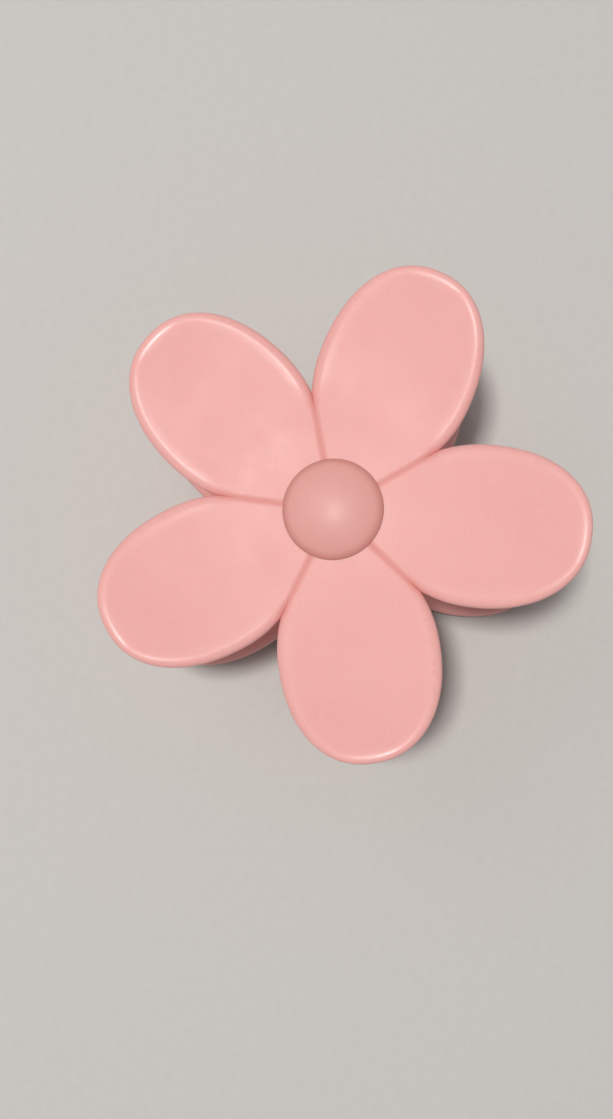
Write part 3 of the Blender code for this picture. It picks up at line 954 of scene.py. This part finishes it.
def moulded_plastic(name, base, deep, pale, roughness, clouding, polished_highlit_rims):
    """Satin moulded plastic: faint clouding, fine spark-eroded grain, and soft light inside.

    deep darkens the clouds and paints shade into the grooves, and pale lightens the speckle and, when
    asked for, paints a highlight on the rims."""
    groove_shade = 0.90
    rim_highlight = 0.22
    rim_polish = 0.21
    nodes = Nodes(name)
    place = nodes.place()
    clouds = nodes.noise(place, CLOUDS, detail=3.0)
    speckle = nodes.noise(place, SPECKLE)
    colour = nodes.mix(nodes.spread(clouds, 0.35, 0.65, 0.0, clouding), base, deep)
    colour = nodes.mix(nodes.spread(speckle, 0.3, 0.7, 0.0, 0.25), colour, pale)
    # Painted shade in the seam grooves and round the button's edge.
    colour = nodes.mix(nodes.math("MULTIPLY", nodes.attribute("groove"), groove_shade), colour, deep)
    if polished_highlit_rims:
        # A painted highlight along the rims.
        colour = nodes.mix(nodes.math("MULTIPLY", nodes.attribute("rim"), rim_highlight), colour, pale)

    smears = nodes.noise(place, SMEARS, detail=4.0, rough=0.6)
    gloss = nodes.spread(smears, 0.3, 0.7, roughness - 0.07, roughness + 0.06)
    gloss = nodes.math("ADD", gloss, nodes.spread(speckle, 0.3, 0.7, -0.04, 0.04))
    if polished_highlit_rims:
        polish = nodes.math("MULTIPLY", nodes.attribute("rim"), rim_polish)
        gloss = nodes.math("SUBTRACT", gloss, polish)

    ripples = nodes.noise(place, RIPPLES)
    grain = nodes.noise(place, GRAIN, rough=0.6)
    normal = nodes.bump(ripples, distance=0.05 * MM, strength=0.16)
    normal = nodes.bump(grain, distance=0.012 * MM, strength=0.35, normal=normal)
    nodes.shader_inputs(
        Base_Color=colour,
        Roughness=gloss,
        Normal=normal,
        IOR=1.49,
        Specular_IOR_Level=0.45,
        Subsurface_Weight=0.30,
        Subsurface_Radius=(1.0, 0.40, 0.32),
        Subsurface_Scale=1.1 * MM,
    )
    return nodes.material


def spring_steel(name, colour, roughness):
    """Drawn wire: bright steel gone slightly dull, with a fine texture and a few darker patches."""
    nodes = Nodes(name)
    place = nodes.place()
    scratches = nodes.noise(place, STEEL_SCRATCHES, detail=3.0, rough=0.6)
    patches = nodes.noise(place, STEEL_PATCHES)
    dark = tuple(0.55 * part for part in colour[:3]) + (1.0,)
    tone = nodes.mix(nodes.spread(patches, 0.4, 0.7, 0.0, 0.5), colour, dark)
    gloss = nodes.spread(scratches, 0.3, 0.7, roughness - 0.08, roughness + 0.12)
    normal = nodes.bump(scratches, distance=0.01 * MM, strength=0.4)
    nodes.shader_inputs(Base_Color=tone, Roughness=gloss, Normal=normal, Metallic=1.0)
    return nodes.material


def matt_floor(name, colour):
    """A matt surface with a mottle that is hardly seen."""
    nodes = Nodes(name)
    mottle = nodes.noise(nodes.place(), FLOOR_MOTTLE, detail=3.0)
    darker = tuple(0.97 * part for part in colour[:3]) + (1.0,)
    tone = nodes.mix(nodes.spread(mottle, 0.3, 0.7, 0.0, 1.0), colour, darker)
    nodes.shader_inputs(Base_Color=tone, Roughness=0.85)
    return nodes.material


# The scene round the clip.


def view_to_row():
    """The view's frame in the row frame. The view fixes how the front flower stands in it."""
    handle = Vector((math.sin(HANDLE_BEARING), math.cos(HANDLE_BEARING), 0.0))
    face = Vector((0.0, 0.0, 1.0))
    spin = Matrix((handle.cross(face), handle, face)).transposed().to_4x4()
    axis = Vector((*FLOWER_TILT, 0.0))
    tilt = Matrix.Rotation(axis.length, 4, axis)
    flower_in_view = Matrix.Translation(FLOWER_SHIFT) @ tilt @ spin
    return clip_to_row() @ flower_to_clip() @ flower_in_view.inverted()


def add_camera():
    data = bpy.data.cameras.new("camera")
    data.lens = LENS
    data.clip_start = 0.01
    camera = bpy.data.objects.new("camera", data)
    camera.matrix_world = view_to_row() @ Matrix.Translation((0.0, 0.0, VIEW_DISTANCE))
    bpy.context.scene.collection.objects.link(camera)
    bpy.context.scene.camera = camera


def add_light(name, toward, distance, size, power, colour):
    """A square soft box, in this direction of the view's frame, aimed at the clip."""
    data = bpy.data.lights.new(name, "AREA")
    data.size = size
    data.energy = power
    data.color = colour
    light = bpy.data.objects.new(name, data)
    place = view_to_row() @ (Vector(toward).normalized() * distance)
    aim = (0.5 * (CAD_BOX[0] + CAD_BOX[1]) - place).to_track_quat("-Z", "Y")
    light.matrix_world = Matrix.LocRotScale(place, aim, None)
    bpy.context.scene.collection.objects.link(light)


def add_floor():
    half = FLOOR_HALF_WIDTH
    mesh = bpy.data.meshes.new("floor")
    corners = [(-half, -half, 0.0), (half, -half, 0.0), (half, half, 0.0), (-half, half, 0.0)]
    mesh.from_pydata(corners, [], [(0, 1, 2, 3)])
    mesh.materials.append(matt_floor("pale_floor", (0.62, 0.61, 0.59, 1.0)))
    floor = bpy.data.objects.new("floor", mesh)
    bpy.context.scene.collection.objects.link(floor)
    floor.location.z = CAD_BOX[0].z - FLOOR_DROP


def add_world(colour, strength):
    world = bpy.data.worlds.new("studio")
    world.use_nodes = True
    background = world.node_tree.nodes["Background"]
    background.inputs["Color"].default_value = colour
    background.inputs["Strength"].default_value = strength
    bpy.context.scene.world = world


def main():
    # deep also paints shade into the seams, and pale paints a highlight on the rims.
    petal_pink = moulded_plastic(
        "petal_plastic",
        base=(0.87, 0.43, 0.41, 1.0),
        deep=(0.80, 0.34, 0.31, 1.0),
        pale=(0.91, 0.53, 0.50, 1.0),
        roughness=0.53,
        clouding=0.25,
        polished_highlit_rims=True,
    )
    # deep also paints shade round the button's edge.
    button_pink = moulded_plastic(
        "button_plastic",
        base=(0.80, 0.405, 0.375, 1.0),
        deep=(0.60, 0.245, 0.215, 1.0),
        pale=(0.85, 0.48, 0.45, 1.0),
        roughness=0.48,
        clouding=0.12,
        polished_highlit_rims=False,
    )
    steel = spring_steel("spring_steel", (0.66, 0.66, 0.68, 1.0), roughness=0.32)

    flower_half(
        "front_flower",
        node="front_flower_half",
        body="front_half",
        mirrored=False,
        ear_x=FRONT_EAR_X,
        teeth=FRONT_TEETH,
        guide_x=leg_x(),
        material=petal_pink,
    )
    flower_half(
        "back_flower",
        node="back_flower_half",
        body="back_half",
        mirrored=True,
        ear_x=BACK_EAR_X,
        teeth=BACK_TEETH,
        guide_x=-leg_x(),
        material=petal_pink,
    )
    button("front_button", "front_centre_button", "front_half", mirrored=False, material=button_pink)
    button("back_button", "back_centre_button", "back_half", mirrored=True, material=button_pink)
    hinge_pin(steel)
    torsion_spring(steel)

    add_floor()
    add_world((1.0, 0.985, 0.97, 1.0), strength=0.24)
    add_light(
        "ceiling_lamp",
        toward=(-0.15, 0.10, 0.98),
        distance=1.2,
        size=0.12,
        power=9.9,
        colour=(1.0, 0.97, 0.94),
    )
    add_light(
        "window",
        toward=(-0.45, 0.45, 0.77),
        distance=1.0,
        size=0.5,
        power=0.7,
        colour=(0.97, 0.98, 1.0),
    )
    add_camera()
    bpy.context.scene.view_settings.view_transform = "Standard"


main()
